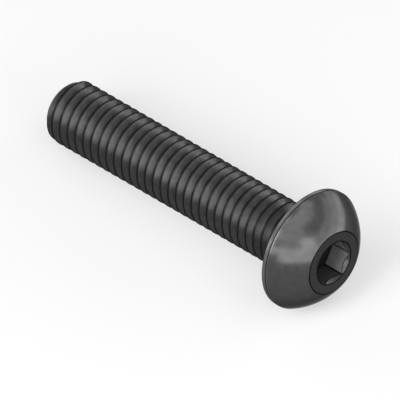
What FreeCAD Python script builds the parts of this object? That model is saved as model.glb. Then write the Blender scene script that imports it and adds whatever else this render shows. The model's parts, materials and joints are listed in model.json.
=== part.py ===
import FreeCAD, Part

import math
import os

from FreeCAD import Vector

# Button head socket screw, formed from one piece of steel.
#
# It is modelled along the X axis with its head towards +X, and its origin is the
# centre of the bearing face under the head. Then it is laid down as it comes to
# rest on a table: the rim of the head and the thread both touch the table, so the
# axis rises a little towards the head.

# Driving dimensions, in millimetres and degrees

# Thread: metric coarse, right-handed, rolled up to the neck
THREAD_DIAMETER = 5.0
PITCH = 0.8
FLANK_ANGLE = 60.0
SHANK_LENGTH = 25.0
TIP_DIAMETER = 3.9
TIP_CHAMFER_ANGLE = 45.0
THREAD_PHASE = 0.39
FACETS_PER_TURN = 24

# Plain neck between the thread and the head
NECK_LENGTH = 0.7
NECK_CHAMFER_ANGLE = 45.0
RUNOUT_LENGTH = 0.6
UNDERHEAD_FILLET = 0.3

# Head
HEAD_DIAMETER = 9.5
HEAD_HEIGHT = 2.75
RIM_HEIGHT = 0.38
CROWN_DIAMETER = 5.04
DOME_RADIUS = 6.1

# Socket for a hexagon key
KEY_WIDTH = 3.0
SOCKET_DEPTH = 1.88
COUNTERSINK_DIAMETER = 3.5
COUNTERSINK_ANGLE = 90.0

# How far the screw is rolled about its own axis where it lies
ROLL_ANGLE = -5.28

# How far a solid reaches into or past the one that it is joined to or cut with
OVERLAP = 0.05
CLEARANCE = 1.0

# What follows from the driving dimensions
ORIGIN = Vector(0, 0, 0)
AXIS = Vector(1, 0, 0)
ACROSS = Vector(0, 1, 0)


def climb(length, angle):
    """How much radius a line at this angle to the axis gains over an axial length."""
    return length * math.tan(math.radians(angle))


def length_for(gain, angle):
    """The axial length over which a line at this angle to the axis gains radius."""
    return gain / math.tan(math.radians(angle))


flank_slope = 90 - FLANK_ANGLE / 2
crest_width = PITCH / 8
root_width = PITCH / 6
flank_width = (PITCH - crest_width - root_width) / 2

crest_radius = THREAD_DIAMETER / 2
root_radius = crest_radius - climb(flank_width, flank_slope)
pitch_radius = crest_radius - climb((PITCH / 2 - crest_width) / 2, flank_slope)
neck_radius = pitch_radius
tip_radius = TIP_DIAMETER / 2
head_radius = HEAD_DIAMETER / 2
crown_radius = CROWN_DIAMETER / 2


def flat_face(corners):
    """A flat face with straight sides."""
    return Part.Face(Part.makePolygon(corners + corners[:1]))


def turned(edges):
    """The solid that a closed profile sweeps when it is turned about the axis."""
    return Part.Face(Part.Wire(edges)).revolve(ORIGIN, AXIS, 360)


def straight(*places):
    """Straight profile edges through places given as axial position and radius."""
    return Part.makePolygon([Vector(x, r, 0) for x, r in places]).Edges


def arc(start, end, radius):
    """A profile edge from start to end that bulges away from the axis."""
    a, b = Vector(*start, 0), Vector(*end, 0)
    middle = (a + b) / 2
    outward = (b - a).cross(Vector(0, 0, -1)).normalize()
    half_chord = (b - a).Length / 2
    bulge = radius - math.sqrt(radius**2 - half_chord**2)
    return Part.Arc(a, middle + outward * bulge, b).toShape()


def helix(radius, start):
    """The corners of one right-handed turn, with its axial start at zero degrees.

    The first corner is half a facet past zero degrees, clear of the seams of the
    turned solids.
    """
    steps = [(facet + 0.5) / FACETS_PER_TURN for facet in range(FACETS_PER_TURN + 1)]
    return [Vector(start + PITCH * step,
                   radius * math.cos(2 * math.pi * step),
                   radius * math.sin(2 * math.pi * step)) for step in steps]


def strip(first, second):
    """The faces between two turns: whole where they are flat, else in two halves."""
    faces = []
    for a, b, c, d in zip(first, first[1:], second[1:], second):
        if (b - a).isEqual(c - d, 1e-9):
            faces.append(flat_face([a, b, c, d]))
        else:
            faces += [flat_face([a, b, c]), flat_face([a, c, d])]
    return faces


def thread_profile(start):
    """One pitch of the thread, as radius and axial position, from crest to crest."""
    crest_end = start + crest_width
    root_start = crest_end + flank_width
    root_end = root_start + root_width
    return [(crest_radius, start), (crest_radius, crest_end), (root_radius, root_start),
            (root_radius, root_end), (crest_radius, start + PITCH)]


def thread_end(start):
    """The faces that close the threaded rod: a ramp of one turn, and its step."""
    centre_line = helix(0, start)
    ramp = strip(centre_line, helix(crest_radius, start))
    step = [helix(radius, x)[0] for radius, x in thread_profile(start)]
    return ramp + [flat_face(step + centre_line[::-1])]


def threaded_rod():
    """A rod with a helical thread that is longer than the shank at both ends."""
    turns = math.ceil(SHANK_LENGTH / PITCH) + 3
    start = THREAD_PHASE - (turns - 1) * PITCH
    faces = thread_end(start) + thread_end(start + turns * PITCH)
    for turn in range(turns):
        lines = [helix(radius, x) for radius, x in thread_profile(start + turn * PITCH)]
        for first, second in zip(lines, lines[1:]):
            faces += strip(first, second)
    shell = Part.makeShell(faces)
    shell.sewShape()
    return Part.makeSolid(shell)


def thread_limits():
    """What the thread is kept inside: the chamfered tip, and its end at the neck."""
    outside = crest_radius + CLEARANCE
    tip_chamfer = length_for(outside - tip_radius, TIP_CHAMFER_ANGLE)
    neck_chamfer = length_for(outside - neck_radius, NECK_CHAMFER_ANGLE)
    inside = neck_radius - climb(OVERLAP, NECK_CHAMFER_ANGLE)
    return turned(straight(
        (-SHANK_LENGTH, 0),
        (-SHANK_LENGTH, tip_radius),
        (tip_chamfer - SHANK_LENGTH, outside),
        (-NECK_LENGTH - neck_chamfer, outside),
        (OVERLAP - NECK_LENGTH, inside),
        (OVERLAP - NECK_LENGTH, 0),
        (-SHANK_LENGTH, 0)))


def head_and_neck():
    """The domed head, and the neck that the thread's groove runs out into."""
    neck_start = -NECK_LENGTH - length_for(crest_radius - neck_radius, NECK_CHAMFER_ANGLE)
    runout_start = neck_start - RUNOUT_LENGTH
    fillet_corner = UNDERHEAD_FILLET * (1 - math.sqrt(0.5))
    fillet = Part.Arc(
        Vector(-UNDERHEAD_FILLET, neck_radius, 0),
        Vector(-fillet_corner, neck_radius + fillet_corner, 0),
        Vector(0, neck_radius + UNDERHEAD_FILLET, 0)).toShape()
    edges = straight((0, 0), (runout_start, 0), (runout_start, root_radius - OVERLAP),
                     (neck_start, neck_radius), (-UNDERHEAD_FILLET, neck_radius))
    edges.append(fillet)
    edges += straight((0, neck_radius + UNDERHEAD_FILLET), (0, head_radius),
                      (RIM_HEIGHT, head_radius))
    edges.append(arc((RIM_HEIGHT, head_radius), (HEAD_HEIGHT, crown_radius), DOME_RADIUS))
    edges += straight((HEAD_HEIGHT, crown_radius), (HEAD_HEIGHT, 0), (0, 0))
    return turned(edges)


def socket():
    """The space that is cut for the key: a hexagon and its countersunk mouth."""
    floor = HEAD_HEIGHT - SOCKET_DEPTH
    corner_radius = KEY_WIDTH / math.sqrt(3)
    turns = [math.radians(60 * corner) for corner in range(6)]
    hexagon = flat_face([
        Vector(floor, corner_radius * math.cos(t), corner_radius * math.sin(t)) for t in turns])
    hole = hexagon.extrude(AXIS * (SOCKET_DEPTH + CLEARANCE))
    top = HEAD_HEIGHT + OVERLAP
    slope = COUNTERSINK_ANGLE / 2
    mouth_radius = COUNTERSINK_DIAMETER / 2 + climb(OVERLAP, slope)
    point = top - length_for(mouth_radius, slope)
    return hole.fuse(turned(straight((point, 0), (top, mouth_radius), (top, 0), (point, 0))))


def laid_down(screw):
    """The screw as it lies, rolled about its axis and touching the table twice."""
    tip_chamfer = length_for(crest_radius - tip_radius, TIP_CHAMFER_ANGLE)
    lean = math.atan2(head_radius - crest_radius, SHANK_LENGTH - tip_chamfer)
    screw.rotate(ORIGIN, AXIS, ROLL_ANGLE)
    screw.rotate(ORIGIN, ACROSS, -math.degrees(lean))
    return screw


def button_head_screw():
    shank = threaded_rod().common(thread_limits())
    return laid_down(shank.fuse(head_and_neck()).cut(socket()))


os.makedirs("parts", exist_ok=True)
button_head_screw().exportStep("parts/button_head_screw.step")
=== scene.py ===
import json
import math

import bpy
from mathutils import Matrix, Vector


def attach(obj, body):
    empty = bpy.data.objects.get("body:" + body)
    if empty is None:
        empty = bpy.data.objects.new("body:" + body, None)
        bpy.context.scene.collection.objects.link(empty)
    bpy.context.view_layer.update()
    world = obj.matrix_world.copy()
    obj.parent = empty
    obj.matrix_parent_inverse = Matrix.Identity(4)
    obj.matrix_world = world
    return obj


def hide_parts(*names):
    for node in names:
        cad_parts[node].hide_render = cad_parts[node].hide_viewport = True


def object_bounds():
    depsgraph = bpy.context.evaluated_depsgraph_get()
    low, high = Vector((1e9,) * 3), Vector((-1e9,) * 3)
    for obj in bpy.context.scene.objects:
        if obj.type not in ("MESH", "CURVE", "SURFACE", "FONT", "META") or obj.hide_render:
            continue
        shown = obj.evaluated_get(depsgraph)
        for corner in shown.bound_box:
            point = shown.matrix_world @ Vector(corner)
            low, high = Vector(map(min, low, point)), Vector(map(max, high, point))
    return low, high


# A button head screw in black steel, lying on a pale floor. The screw is one smooth
# mesh with the same sizes as the CAD node that it stands for.

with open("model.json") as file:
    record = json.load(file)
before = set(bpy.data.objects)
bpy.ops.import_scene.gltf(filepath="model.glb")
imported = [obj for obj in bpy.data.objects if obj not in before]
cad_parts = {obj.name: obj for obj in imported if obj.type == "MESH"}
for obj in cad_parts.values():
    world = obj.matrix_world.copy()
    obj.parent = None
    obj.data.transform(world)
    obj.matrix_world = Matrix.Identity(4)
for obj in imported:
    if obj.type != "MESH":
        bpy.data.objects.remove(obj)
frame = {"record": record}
cad_low, cad_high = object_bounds()

# Sizes of the screw, in millimetres and degrees, in its own frame: the axis is X,
# the head is towards +X and the origin is the centre of the bearing face
THREAD_DIAMETER = 5.0
PITCH = 0.8
FLANK_ANGLE = 60.0
TIP_DIAMETER = 3.9
TIP_CHAMFER_ANGLE = 45.0
THREAD_PHASE = 0.39
NECK_LENGTH = 0.7
NECK_CHAMFER_ANGLE = 45.0
RUNOUT_LENGTH = 0.6
UNDERHEAD_FILLET = 0.3
HEAD_DIAMETER = 9.5
RIM_HEIGHT = 0.38
CROWN_DIAMETER = 5.04
DOME_RADIUS = 6.1
KEY_WIDTH = 3.0
SOCKET_DEPTH = 1.88
COUNTERSINK_DIAMETER = 3.5
COUNTERSINK_ANGLE = 90.0
ROLL_ANGLE = -5.28

# Edge breaks that are finer than the CAD model has
CREST_ROUND = 0.025
ROOT_ROUND = 0.05
HEAD_EDGE_ROUND = 0.04
TIP_EDGE_ROUND = 0.05

# How finely the mesh is divided
THREAD_STEPS = 96
HEAD_STEPS = 192
DOME_STEPS = 24
ROUND_STEPS = 3
SHARP_ANGLE = 32.0

# How far a mesh reaches into or past the one that it is joined to or cut with
OVERLAP = 0.05
CLEARANCE = 1.0

MILLIMETRE = 0.001

# What the frame gives: the two ends of the axis, so its length, and how it leans
mounts = {mount["name"]: Vector(mount["pos_m"]) for mount in frame["record"]["mounts"]}
axis_direction = (mounts["key_socket"] - mounts["thread"]).normalized()
shank_length = round(mounts["thread"].length / MILLIMETRE, 3)
head_height = round(mounts["key_socket"].length / MILLIMETRE, 3)
lean = math.atan2(axis_direction.z, axis_direction.x)

crest_width = PITCH / 8
root_width = PITCH / 6
flank_width = (PITCH - crest_width - root_width) / 2
flank_slope = math.tan(math.radians(90 - FLANK_ANGLE / 2))
crest_radius = THREAD_DIAMETER / 2
root_radius = crest_radius - flank_width * flank_slope
neck_radius = crest_radius - (PITCH / 2 - crest_width) / 2 * flank_slope
tip_radius = TIP_DIAMETER / 2
head_radius = HEAD_DIAMETER / 2
crown_radius = CROWN_DIAMETER / 2
mouth_radius = COUNTERSINK_DIAMETER / 2
corner_radius = KEY_WIDTH / math.sqrt(3)
socket_floor = head_height - SOCKET_DEPTH


def climb(length, angle):
    """How far a line at this angle to an axis gets from it over a length along it."""
    return length * math.tan(math.radians(angle))


def length_for(gain, angle):
    """The length along an axis over which a line at this angle gets this far from it."""
    return gain / math.tan(math.radians(angle))


def around(x, radius, angle):
    """The point at this axial position, radius and angle, which starts at +Y."""
    return (x, radius * math.cos(angle), radius * math.sin(angle))


def rounded(corners):
    """A line through corners (x, radius, rounding) with an arc at each rounded one."""
    line = [Vector(corners[0][:2])]
    for before, corner, after in zip(corners, corners[1:], corners[2:]):
        place = Vector(corner[:2])
        back = (Vector(before[:2]) - place).normalized()
        ahead = (Vector(after[:2]) - place).normalized()
        if not corner[2]:
            line.append(place)
            continue
        half_turn = (math.pi - back.angle(ahead)) / 2
        inward = (back + ahead).normalized()
        centre = place + inward * corner[2] / math.cos(half_turn)
        side = (ahead - back).normalized()
        for step in range(ROUND_STEPS + 1):
            turn = half_turn * (2 * step / ROUND_STEPS - 1)
            line.append(centre + corner[2] * (side * math.sin(turn) - inward * math.cos(turn)))
    line.append(Vector(corners[-1][:2]))
    return line


def mesh_object(name, points, faces):
    """A new object with this mesh, linked to the scene."""
    mesh = bpy.data.meshes.new(name)
    mesh.from_pydata(points, [], faces)
    mesh.validate()
    piece = bpy.data.objects.new(name, mesh)
    bpy.context.scene.collection.objects.link(piece)
    return piece


def turned(name, rows, steps):
    """A closed mesh about the axis. A row is a place (x, radius), or gives one by angle.

    The first and last rows lie on the axis.
    """
    first, *middle, last = rows
    points = [(first[0], 0, 0), (last[0], 0, 0)]
    rings = []
    for row in middle:
        ring = []
        for step in range(steps):
            angle = 2 * math.pi * step / steps
            x, radius = row(angle) if callable(row) else row
            ring.append(len(points))
            points.append(around(x, radius, angle))
        rings.append(ring)
    faces = []
    for step in range(steps):
        following = (step + 1) % steps
        faces.append((0, rings[0][following], rings[0][step]))
        faces.append((1, rings[-1][step], rings[-1][following]))
        for near, far in zip(rings, rings[1:]):
            faces.append((near[step], near[following], far[following], far[step]))
    return mesh_object(name, points, faces)


def threaded_rod():
    """A rod with a right-handed helical thread, longer than the shank at both ends."""
    root_start = crest_width + flank_width
    profile = rounded([
        (-flank_width, root_radius, 0),
        (0, crest_radius, CREST_ROUND),
        (crest_width, crest_radius, CREST_ROUND),
        (root_start, root_radius, ROOT_ROUND),
        (root_start + root_width, root_radius, ROOT_ROUND),
        (PITCH, crest_radius, 0)])[1:-1]
    turns = math.ceil(shank_length / PITCH) + 3
    start = THREAD_PHASE - (turns - 1) * PITCH
    lines = len(profile)
    points = []

    def add(step, x, radius):
        angle = 2 * math.pi * step / THREAD_STEPS
        points.append(around(start + x + PITCH * step / THREAD_STEPS, radius, angle))

    for step in range(turns * THREAD_STEPS + 1):
        for x, radius in profile:
            add(step, x, radius)
    last_turn = len(points)
    for step in range(turns * THREAD_STEPS + 1, (turns + 1) * THREAD_STEPS + 1):
        add(step, *profile[0])

    def corner(step, line):
        """The number of a point, where a line past the last one starts the next turn."""
        step += line // lines * THREAD_STEPS
        if step <= turns * THREAD_STEPS:
            return step * lines + line % lines
        return last_turn + step - turns * THREAD_STEPS - 1

    faces = []
    for step in range(turns * THREAD_STEPS):
        for line in range(lines):
            faces.append((corner(step, line), corner(step + 1, line),
                          corner(step + 1, line + 1), corner(step, line + 1)))
    for first_step, outward in ((0, 1), (turns * THREAD_STEPS, -1)):
        centre = len(points)
        for step in range(first_step, first_step + THREAD_STEPS + 1):
            add(step, profile[0][0], 0)
        for step in range(THREAD_STEPS):
            ramp = (centre + step, centre + step + 1,
                    corner(first_step + step + 1, 0), corner(first_step + step, 0))
            faces.append(ramp[::outward])
        step_up = [corner(first_step, line) for line in range(lines + 1)]
        centre_line = list(range(centre, centre + THREAD_STEPS + 1))
        faces.append((step_up + centre_line[::-1])[::outward])
    return mesh_object("threaded_rod", points, faces)


def thread_limits():
    """What the thread is kept inside: the chamfered tip, and its end at the neck."""
    outside = crest_radius + CLEARANCE
    tip_chamfer = length_for(outside - tip_radius, TIP_CHAMFER_ANGLE)
    neck_chamfer = length_for(outside - neck_radius, NECK_CHAMFER_ANGLE)
    inside = neck_radius - climb(OVERLAP, NECK_CHAMFER_ANGLE)
    return turned("thread_limits", rounded([
        (-shank_length, 0, 0),
        (-shank_length, tip_radius, TIP_EDGE_ROUND),
        (tip_chamfer - shank_length, outside, 0),
        (-NECK_LENGTH - neck_chamfer, outside, 0),
        (OVERLAP - NECK_LENGTH, inside, 0),
        (OVERLAP - NECK_LENGTH, 0, 0)]), THREAD_STEPS)


def dome():
    """Places along the dome's arc, from the rim to the crown, without its two ends."""
    rim = Vector((RIM_HEIGHT, head_radius))
    crown = Vector((head_height, crown_radius))
    chord = crown - rim
    inward = Vector((chord.y, -chord.x)).normalized()
    depth = math.sqrt(DOME_RADIUS**2 - (chord.length / 2)**2)
    centre = (rim + crown) / 2 + inward * depth
    start = math.atan2(rim.y - centre.y, rim.x - centre.x)
    end = math.atan2(crown.y - centre.y, crown.x - centre.x)
    places = []
    for step in range(1, DOME_STEPS):
        angle = start + (end - start) * step / DOME_STEPS
        places.append((centre.x + DOME_RADIUS * math.cos(angle),
                       centre.y + DOME_RADIUS * math.sin(angle), 0))
    return places


def hexagon_radius(angle):
    """How far the key socket's wall is from the axis, with a corner at angle zero."""
    from_flat = angle % (math.pi / 3) - math.pi / 6
    return KEY_WIDTH / 2 / math.cos(from_flat)


def socket_mouth(angle):
    """Where the countersink meets the key socket's wall."""
    radius = hexagon_radius(angle)
    return head_height - length_for(mouth_radius - radius, COUNTERSINK_ANGLE / 2), radius


def head_and_neck():
    """The domed head with its key socket, and the neck that the thread runs out into."""
    neck_start = -NECK_LENGTH - length_for(crest_radius - neck_radius, NECK_CHAMFER_ANGLE)
    runout_start = neck_start - RUNOUT_LENGTH
    outline = rounded([
        (runout_start, 0, 0),
        (runout_start, root_radius - OVERLAP, 0),
        (neck_start, neck_radius, 0),
        (0, neck_radius, UNDERHEAD_FILLET),
        (0, head_radius, HEAD_EDGE_ROUND),
        (RIM_HEIGHT, head_radius, HEAD_EDGE_ROUND),
        *dome(),
        (head_height, crown_radius, HEAD_EDGE_ROUND),
        (head_height, mouth_radius, HEAD_EDGE_ROUND),
        (*socket_mouth(math.pi / 6), 0)])
    rows = outline[:-1]
    rows.append(socket_mouth)
    rows.append(lambda angle: (socket_floor, hexagon_radius(angle)))
    rows.append((socket_floor, 0))
    return turned("head_and_neck", rows, HEAD_STEPS)


def combine(piece, other, operation):
    """Joins the piece with another one or keeps what both share. The other one goes."""
    modifier = piece.modifiers.new(operation, "BOOLEAN")
    modifier.operation = operation
    modifier.solver = "MANIFOLD"
    modifier.object = other
    shown = piece.evaluated_get(bpy.context.evaluated_depsgraph_get())
    mesh = bpy.data.meshes.new_from_object(shown)
    piece.modifiers.clear()
    piece.data = mesh
    bpy.data.objects.remove(other)


def laid_down(piece):
    """Turns and scales the mesh to how the screw lies in the frame, in metres."""
    roll = Matrix.Rotation(math.radians(ROLL_ANGLE), 4, "X")
    piece.data.transform(Matrix.Rotation(-lean, 4, "Y") @ roll @ Matrix.Scale(MILLIMETRE, 4))


def button_head_screw():
    """The whole screw as one smooth mesh, lying as the CAD node does."""
    screw = threaded_rod()
    combine(screw, thread_limits(), "INTERSECT")
    combine(screw, head_and_neck(), "UNION")
    screw.name = "smooth_screw"
    laid_down(screw)
    for face in screw.data.polygons:
        face.use_smooth = True
    screw.data.set_sharp_from_angle(angle=math.radians(SHARP_ANGLE))
    weighting = screw.modifiers.new("large faces lead", "WEIGHTED_NORMAL")
    weighting.keep_sharp = True
    return screw


screw = button_head_screw()
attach(screw, "root")
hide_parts("button_head_screw")


# The finish: a thin black oxide, darker along the sharp edges. Painted shade darkens the
# thread's roots and crests, the crown, the countersink, the neck, and the key socket's corners,
# floor and lowest flat. Painted light lightens the rim and the thread's flanks towards their
# roots, and the key socket's steel is painted lighter, partly as painted light. A tone is how
# light the steel is, painted light is given as how many times lighter a place is painted, and a
# shade as the share of its tone that a darker place keeps.
OXIDE_EDGE_TINT = 0.4
FORGED_TONE = 0.056
FORGED_METALLIC = 0.75
FORGED_ROUGHNESS = 0.19
RIM_PAINTED_HIGHLIGHT = 1.8
CROWN_PAINTED_SHADE = 0.66
COUNTERSINK_PAINTED_SHADE = 0.72
ROLLED_TONE = 0.053
ROLLED_METALLIC = 0.9
ROLLED_ROUGHNESS = 0.4
ROLLED_ANISOTROPY = 0.95
FLANK_PAINTED_LIGHT = 1.55
# The key socket's steel is painted lighter than the head's, partly as painted light.
BROACHED_TONE_AND_PAINTED_LIGHT = 0.17
BROACHED_METALLIC = 0.5
BROACHED_ROUGHNESS = 0.5
TURNED_TONE = 0.07
TURNED_METALLIC = 0.6
TURNED_ROUGHNESS = 0.38
CREST_PAINTED_SHADE = 0.27
ROOT_PAINTED_SHADE = 0.12
NECK_PAINTED_SHADE = 0.2
EDGE_SHADE = 0.05
CORNER_PAINTED_SHADE = 0.3
SOCKET_LOW_PAINTED_SHADE = 0.27

# How far the dark along an edge reaches, and between which distances from the thread's crest
# and from its root the painted shade sets in, in millimetres
EDGE_LINE = 0.055
CREST_FADE = (0.05, 0.03)
ROOT_FADE = (0.02, 0.005)

# How much of a face's normal is along the axis: at least this much where the face is
# square to the axis, and at most this much on the key socket's walls
SQUARE_FACING = 0.9
WALL_FACING = 0.5

# Uneven places in the finish: the values between which most of the noise lies, how many
# features there are to the millimetre, and by how much they change the finish, as a
# share of it or as a height in millimetres
NOISE_RANGE = (0.3, 0.7)
MOTTLE_SCALE = 2.2
MOTTLE_CHANGE = 0.08
SMEAR_SCALE = 0.9
SMEAR_CHANGE = 0.05
FORGED_WAVE_SCALE = 0.8
FORGED_WAVE_HEIGHT = 0.004
GRAIN_SCALE = 14.0
GRAIN_HEIGHT = 0.0006


class Nodes:
    """Short ways to add shader nodes to one tree."""

    def __init__(self, tree):
        self.tree = tree

    def add(self, kind, inputs, output=0, **settings):
        """One output of a new node with these inputs and settings."""
        node = self.tree.nodes.new("ShaderNode" + kind)
        for name, value in settings.items():
            setattr(node, name, value)
        self.feed(node, inputs)
        return node.outputs[output]

    def feed(self, node, inputs):
        """Sets a node's inputs to values, or links them to other nodes' outputs."""
        for name, value in inputs.items():
            if isinstance(value, bpy.types.NodeSocket):
                self.tree.links.new(value, node.inputs[name])
            else:
                node.inputs[name].default_value = value

    def math(self, operation, *values):
        """The result of one calculation on numbers and outputs."""
        return self.add("Math", dict(enumerate(values)), operation=operation)

    def ramp(self, value, start, end, low=0.0, high=1.0):
        """Goes smoothly from low to high while the value goes from start to end."""
        return self.add("MapRange", {"Value": value, "From Min": start, "From Max": end,
                                     "To Min": low, "To Max": high},
                        interpolation_type="SMOOTHSTEP")

    def length(self, a, b):
        """The length of a line with these two sides."""
        return self.math("SQRT", self.math("ADD", self.math("MULTIPLY", a, a),
                                           self.math("MULTIPLY", b, b)))

    def noise(self, place, scale):
        """Even noise about 0.5, with this many features to the millimetre."""
        return self.add("TexNoise", {"Vector": place, "Scale": scale})

    def seen_directly(self):
        """1 for the camera, for reflections and through glass, and 0 for diffuse light."""
        rays = [self.add("LightPath", {}, output)
                for output in ("Is Camera Ray", "Is Glossy Ray", "Is Transmission Ray")]
        return self.math("MAXIMUM", self.math("MAXIMUM", *rays[:2]), rays[2])


class Place:
    """Where a point is in the screw's own frame, in millimetres."""

    def __init__(self, nodes):
        self.nodes = nodes
        point = nodes.add("TexCoord", {}, "Object")
        self.point = nodes.add(
            "Mapping", {"Vector": point, "Rotation": (math.radians(ROLL_ANGLE), -lean, 0),
                        "Scale": (MILLIMETRE,) * 3}, vector_type="TEXTURE")
        self.x, self.y, self.z = (nodes.add("SeparateXYZ", {"Vector": self.point}, name)
                                  for name in "XYZ")
        self.radius = nodes.length(self.y, self.z)

    def ring(self, x, radius):
        """1 along the circle at this axial position and radius, and 0 away from it."""
        away = self.nodes.length(self.nodes.math("SUBTRACT", self.x, x),
                                 self.nodes.math("SUBTRACT", self.radius, radius))
        return self.nodes.ramp(away, EDGE_LINE, EDGE_LINE / 2)


def any_of(nodes, masks):
    """The strongest of several masks."""
    strongest = masks[0]
    for mask in masks[1:]:
        strongest = nodes.math("MAXIMUM", strongest, mask)
    return strongest


def shaded(nodes, tone, mask, shade):
    """The tone, taken down to a share of itself where the mask is 1."""
    return nodes.math("MULTIPLY", tone, nodes.ramp(mask, 0, 1, 1, shade))


def uneven(nodes, place, value, scale, change):
    """The value, with soft patches where it is up to this share more or less."""
    noise = nodes.noise(place.point, scale)
    patches = nodes.ramp(noise, *NOISE_RANGE, 1 - change, 1 + change)
    return nodes.math("MULTIPLY", value, patches)


def steel(name, tone_at, metallic, roughness, wave_height=0, anisotropy=0):
    """Black oxide steel, where tone_at gives the tone from the nodes and the place."""
    material = bpy.data.materials.new(name)
    material.use_nodes = True
    nodes = Nodes(material.node_tree)
    place = Place(nodes)
    tone = uneven(nodes, place, tone_at(nodes, place), MOTTLE_SCALE, MOTTLE_CHANGE)
    wave = nodes.add("Bump", {"Height": nodes.noise(place.point, FORGED_WAVE_SCALE),
                              "Distance": wave_height * MILLIMETRE})
    grain = nodes.add("Bump", {"Height": nodes.noise(place.point, GRAIN_SCALE),
                               "Distance": GRAIN_HEIGHT * MILLIMETRE, "Normal": wave})
    shader = material.node_tree.nodes["Principled BSDF"]
    nodes.feed(shader, {
        "Base Color": nodes.add("CombineColor", {"Red": tone, "Green": tone, "Blue": tone}),
        "Metallic": metallic,
        "Specular IOR Level": 0,
        "Specular Tint": (OXIDE_EDGE_TINT,) * 3 + (1,),
        "Roughness": uneven(nodes, place, roughness, SMEAR_SCALE, SMEAR_CHANGE),
        "Anisotropic": anisotropy,
        "Normal": grain})
    if anisotropy:
        along = dict(zip("XYZ", axis_direction))
        nodes.feed(shader, {"Tangent": nodes.add("CombineXYZ", along)})
    return material


def forged_tone(nodes, place):
    """The head's tone, with a painted highlight on the rim, painted shade on the crown,
    countersink and neck, and darker edges.
    """
    # Painted highlight: the rim is painted lighter than the rest of the head.
    rim = nodes.ramp(place.radius, head_radius - EDGE_LINE, head_radius - EDGE_LINE / 2,
                     FORGED_TONE, FORGED_TONE * RIM_PAINTED_HIGHLIGHT)
    # Painted shade: the crown is painted darker.
    crown = nodes.ramp(place.x, head_height - EDGE_LINE, head_height - EDGE_LINE / 2)
    # Painted shade: the countersink is painted darker.
    countersink = nodes.ramp(place.radius, mouth_radius, mouth_radius - EDGE_LINE / 2)
    tone = shaded(nodes, rim, crown, CROWN_PAINTED_SHADE)
    tone = shaded(nodes, tone, countersink, COUNTERSINK_PAINTED_SHADE)
    rings = [(0, head_radius), (RIM_HEIGHT, head_radius), (head_height, crown_radius),
             (head_height, mouth_radius)]
    edges = any_of(nodes, [place.ring(x, radius) for x, radius in rings])
    # Painted shade on the neck under the head.
    neck = nodes.ramp(place.x, 0, -UNDERHEAD_FILLET)
    return shaded(nodes, shaded(nodes, tone, neck, NECK_PAINTED_SHADE), edges, EDGE_SHADE)


def turned_tone(nodes, place):
    """The tone of the bearing face and of the tip's end: darker along their edges."""
    rings = [(0, head_radius), (0, neck_radius + UNDERHEAD_FILLET), (-shank_length, tip_radius)]
    edges = any_of(nodes, [place.ring(x, radius) for x, radius in rings])
    return shaded(nodes, TURNED_TONE, edges, EDGE_SHADE)


def rolled_tone(nodes, place):
    """The thread's tone: painted light down the flanks, painted shade on the crests, in the
    roots and by the head, and a darker edge at the tip.
    """
    # Painted light: the flanks are painted lighter towards their roots.
    flank = nodes.ramp(place.radius, crest_radius, root_radius,
                       ROLLED_TONE, ROLLED_TONE * FLANK_PAINTED_LIGHT)
    # Painted shade on the crests.
    crest = nodes.ramp(place.radius, *(crest_radius - depth for depth in CREST_FADE))
    # Painted shade in the roots.
    root = nodes.ramp(place.radius, *(root_radius + height for height in ROOT_FADE))
    tone = shaded(nodes, flank, crest, CREST_PAINTED_SHADE)
    tone = shaded(nodes, tone, root, ROOT_PAINTED_SHADE)
    # Painted shade on the last turn of the thread next to the head.
    neck = nodes.ramp(place.x, -NECK_LENGTH - PITCH, -NECK_LENGTH)
    return shaded(nodes, shaded(nodes, tone, neck, NECK_PAINTED_SHADE),
                  place.ring(-shank_length, tip_radius), EDGE_SHADE)


def broached_tone(nodes, place):
    """The key socket's tone, painted lighter partly as painted light, with painted shade along
    its corners and edges, on its floor and on its lowest flat.
    """
    corners = nodes.ramp(place.radius, corner_radius - EDGE_LINE, corner_radius - EDGE_LINE / 2)
    rise = nodes.math("SUBTRACT", place.x, place.radius)
    mouth = head_height - mouth_radius
    step = nodes.math("ABSOLUTE", nodes.math("SUBTRACT", rise, mouth - EDGE_LINE))
    edge = nodes.ramp(step, EDGE_LINE, EDGE_LINE / 2)
    bottom = nodes.ramp(place.x, socket_floor + 2 * EDGE_LINE, socket_floor + EDGE_LINE)
    lowest = -KEY_WIDTH / 2
    low_flat_shade = nodes.ramp(place.z, lowest + 2 * EDGE_LINE, lowest + EDGE_LINE)
    # Painted shade on the floor and on the lowest flat.
    tone = shaded(nodes, BROACHED_TONE_AND_PAINTED_LIGHT, any_of(nodes, [low_flat_shade, bottom]), SOCKET_LOW_PAINTED_SHADE)
    # Painted shade along the corners, below the mouth and on the floor.
    return shaded(nodes, tone, any_of(nodes, [corners, edge, bottom]), CORNER_PAINTED_SHADE)


def finish_at(face):
    """The name of the finish that a face has, from where it is on the screw."""
    along = face.center.dot(axis_direction) / MILLIMETRE
    away = (face.center / MILLIMETRE - axis_direction * along).length
    facing = face.normal.dot(axis_direction)
    if facing < -SQUARE_FACING:
        return "turned"
    if along < -NECK_LENGTH:
        return "rolled"
    in_socket = facing < WALL_FACING or along < head_height / 2
    if along > 0 and away < mouth_radius and in_socket:
        return "broached"
    return "forged"


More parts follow.
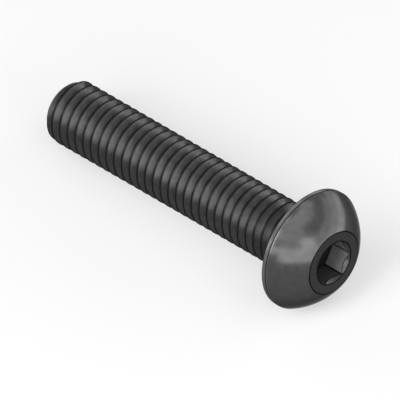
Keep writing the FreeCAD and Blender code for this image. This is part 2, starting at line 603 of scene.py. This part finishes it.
def finish_steel(piece):
    """Gives each face of the screw its finish."""
    finishes = {
        "forged": steel("forged_steel", forged_tone, FORGED_METALLIC, FORGED_ROUGHNESS,
                        wave_height=FORGED_WAVE_HEIGHT),
        "rolled": steel("rolled_steel", rolled_tone, ROLLED_METALLIC, ROLLED_ROUGHNESS,
                        anisotropy=ROLLED_ANISOTROPY),
        "broached": steel("broached_steel", broached_tone, BROACHED_METALLIC,
                          BROACHED_ROUGHNESS),
        "turned": steel("turned_steel", turned_tone, TURNED_METALLIC, TURNED_ROUGHNESS)}
    piece.data.materials.clear()
    for material in finishes.values():
        piece.data.materials.append(material)
    order = list(finishes)
    for face in piece.data.polygons:
        face.material_index = order.index(finish_at(face))


# The photograph is an even-scale view of 400 by 400 pixels. Distances to the camera and
# to the lamps, and the floor's size, are in metres.
IMAGE_SIZE = 400
PIXELS_PER_MILLIMETRE = 13.67
BEARING_CENTRE_PIXEL = (307.33, 247.6)
CAMERA_AZIMUTH = 44.756
CAMERA_ELEVATION = 42.710
CAMERA_DISTANCE = 0.4
CAMERA_CLIP_START = 0.01

# Softboxes in arcs round the screw: the azimuths where each begins and ends, the
# elevation of its middle and its height, all in degrees, and its radiance. A radiance
# of 1 shows as white. An arc is made of flat panels, each at most PANEL_SPAN wide.
LAMP_DISTANCE = 0.4
PANEL_SPAN = 24
SOFTBOXES = {
    "low_left": (30, 78, 6, 12, 4.0),
    "low_head": (78, 114, 6, 12, 2.5),
    "low_right": (114, 138, 6, 12, 9.0),
    "low_behind": (138, 186, 6, 12, 4.0),
    "middle_left": (6, 90, 18, 12, 4.0),
    "middle_right": (90, 186, 18, 12, 2.2),
    "upper_side": (-18, 18, 30, 12, 12.0),
    "upper_left": (30, 66, 30, 12, 1.5),
    "upper_head": (66, 90, 30, 12, 5.0),
    "upper_right": (90, 174, 30, 12, 1.5),
    "high_side": (-22, 22, 44, 16, 10.0),
    "high_head": (22, 82, 44, 16, 1.8),
    "top_side": (-15, 15, 62, 20, 5.0),
    "top_head": (15, 165, 62, 20, 2.0),
    "back_low": (200, 320, 10, 20, 2.2),
    "back_high": (240, 300, 32, 24, 1.0),
}
SKY_STRENGTH = 0.1

# How much of the floor's white is its own, for the camera and for reflections. The
# rest is lit, so it shows the shadow.
FLOOR_GLOW = 0.45
FLOOR_COLOUR = 0.6
FLOOR_SIZE = 2.0


def towards(azimuth, elevation):
    """The direction from the object to this azimuth and elevation, in degrees."""
    a, e = math.radians(azimuth), math.radians(elevation)
    return Vector((math.sin(a) * math.cos(e), -math.cos(a) * math.cos(e), math.sin(e)))


def add_camera():
    """The camera, which sees the screw as the photograph does."""
    back = towards(CAMERA_AZIMUTH, CAMERA_ELEVATION)
    turn = back.to_track_quat("Z", "Y")
    right, up = turn @ Vector((1, 0, 0)), turn @ Vector((0, 1, 0))
    pixel = MILLIMETRE / PIXELS_PER_MILLIMETRE
    across = (IMAGE_SIZE / 2 - BEARING_CENTRE_PIXEL[0]) * pixel
    upward = (BEARING_CENTRE_PIXEL[1] - IMAGE_SIZE / 2) * pixel
    data = bpy.data.cameras.new("camera")
    data.type = "ORTHO"
    data.ortho_scale = IMAGE_SIZE * pixel
    data.clip_start = CAMERA_CLIP_START
    camera = bpy.data.objects.new("camera", data)
    camera.rotation_mode = "QUATERNION"
    camera.rotation_quaternion = turn
    camera.location = right * across + up * upward + back * CAMERA_DISTANCE
    bpy.context.scene.collection.objects.link(camera)
    bpy.context.scene.camera = camera


def add_panel(name, azimuth, elevation, width, height, radiance):
    """A flat soft light that faces the screw, with its width and height in degrees."""
    wide, high = (2 * climb(LAMP_DISTANCE, size / 2) for size in (width, height))
    data = bpy.data.lights.new(name, "AREA")
    data.shape = "RECTANGLE"
    data.size, data.size_y = wide, high
    data.energy = radiance * math.pi * wide * high
    lamp = bpy.data.objects.new(name, data)
    back = towards(azimuth, elevation)
    lamp.location = back * LAMP_DISTANCE
    lamp.rotation_mode = "QUATERNION"
    lamp.rotation_quaternion = back.to_track_quat("Z", "Y")
    bpy.context.scene.collection.objects.link(lamp)


def add_softbox(name, start, end, elevation, height, radiance):
    """Panels side by side along an arc between two azimuths."""
    panels = math.ceil((end - start) / PANEL_SPAN)
    span = (end - start) / panels
    width = span * math.cos(math.radians(elevation))
    for panel in range(panels):
        azimuth = start + (panel + 0.5) * span
        add_panel(f"{name}_{panel + 1}", azimuth, elevation, width, height, radiance)


def add_floor():
    """A pale floor that the screw lies on."""
    bpy.ops.mesh.primitive_plane_add(size=FLOOR_SIZE, location=(0, 0, cad_low.z))
    floor = bpy.context.object
    floor.name = "floor"
    material = bpy.data.materials.new("floor")
    material.use_nodes = True
    nodes = Nodes(material.node_tree)
    lit = nodes.add("BsdfDiffuse", {"Color": (FLOOR_COLOUR,) * 3 + (1,)})
    glow = nodes.add("Emission", {"Strength": nodes.seen_directly()})
    both = nodes.add("MixShader", {0: FLOOR_GLOW, 1: lit, 2: glow})
    nodes.feed(material.node_tree.nodes["Material Output"], {"Surface": both})
    floor.data.materials.append(material)


def add_world():
    """White all round for the camera and reflections, and a weak sky for the rest."""
    world = bpy.data.worlds.new("world")
    world.use_nodes = True
    nodes = Nodes(world.node_tree)
    nodes.feed(world.node_tree.nodes["Background"], {
        "Color": (1, 1, 1, 1),
        "Strength": nodes.ramp(nodes.seen_directly(), 0, 1, SKY_STRENGTH, 1)})
    bpy.context.scene.world = world


finish_steel(screw)
add_camera()
add_floor()
add_world()
for name, arc in SOFTBOXES.items():
    add_softbox(name, *arc)
bpy.context.scene.view_settings.view_transform = "Standard"
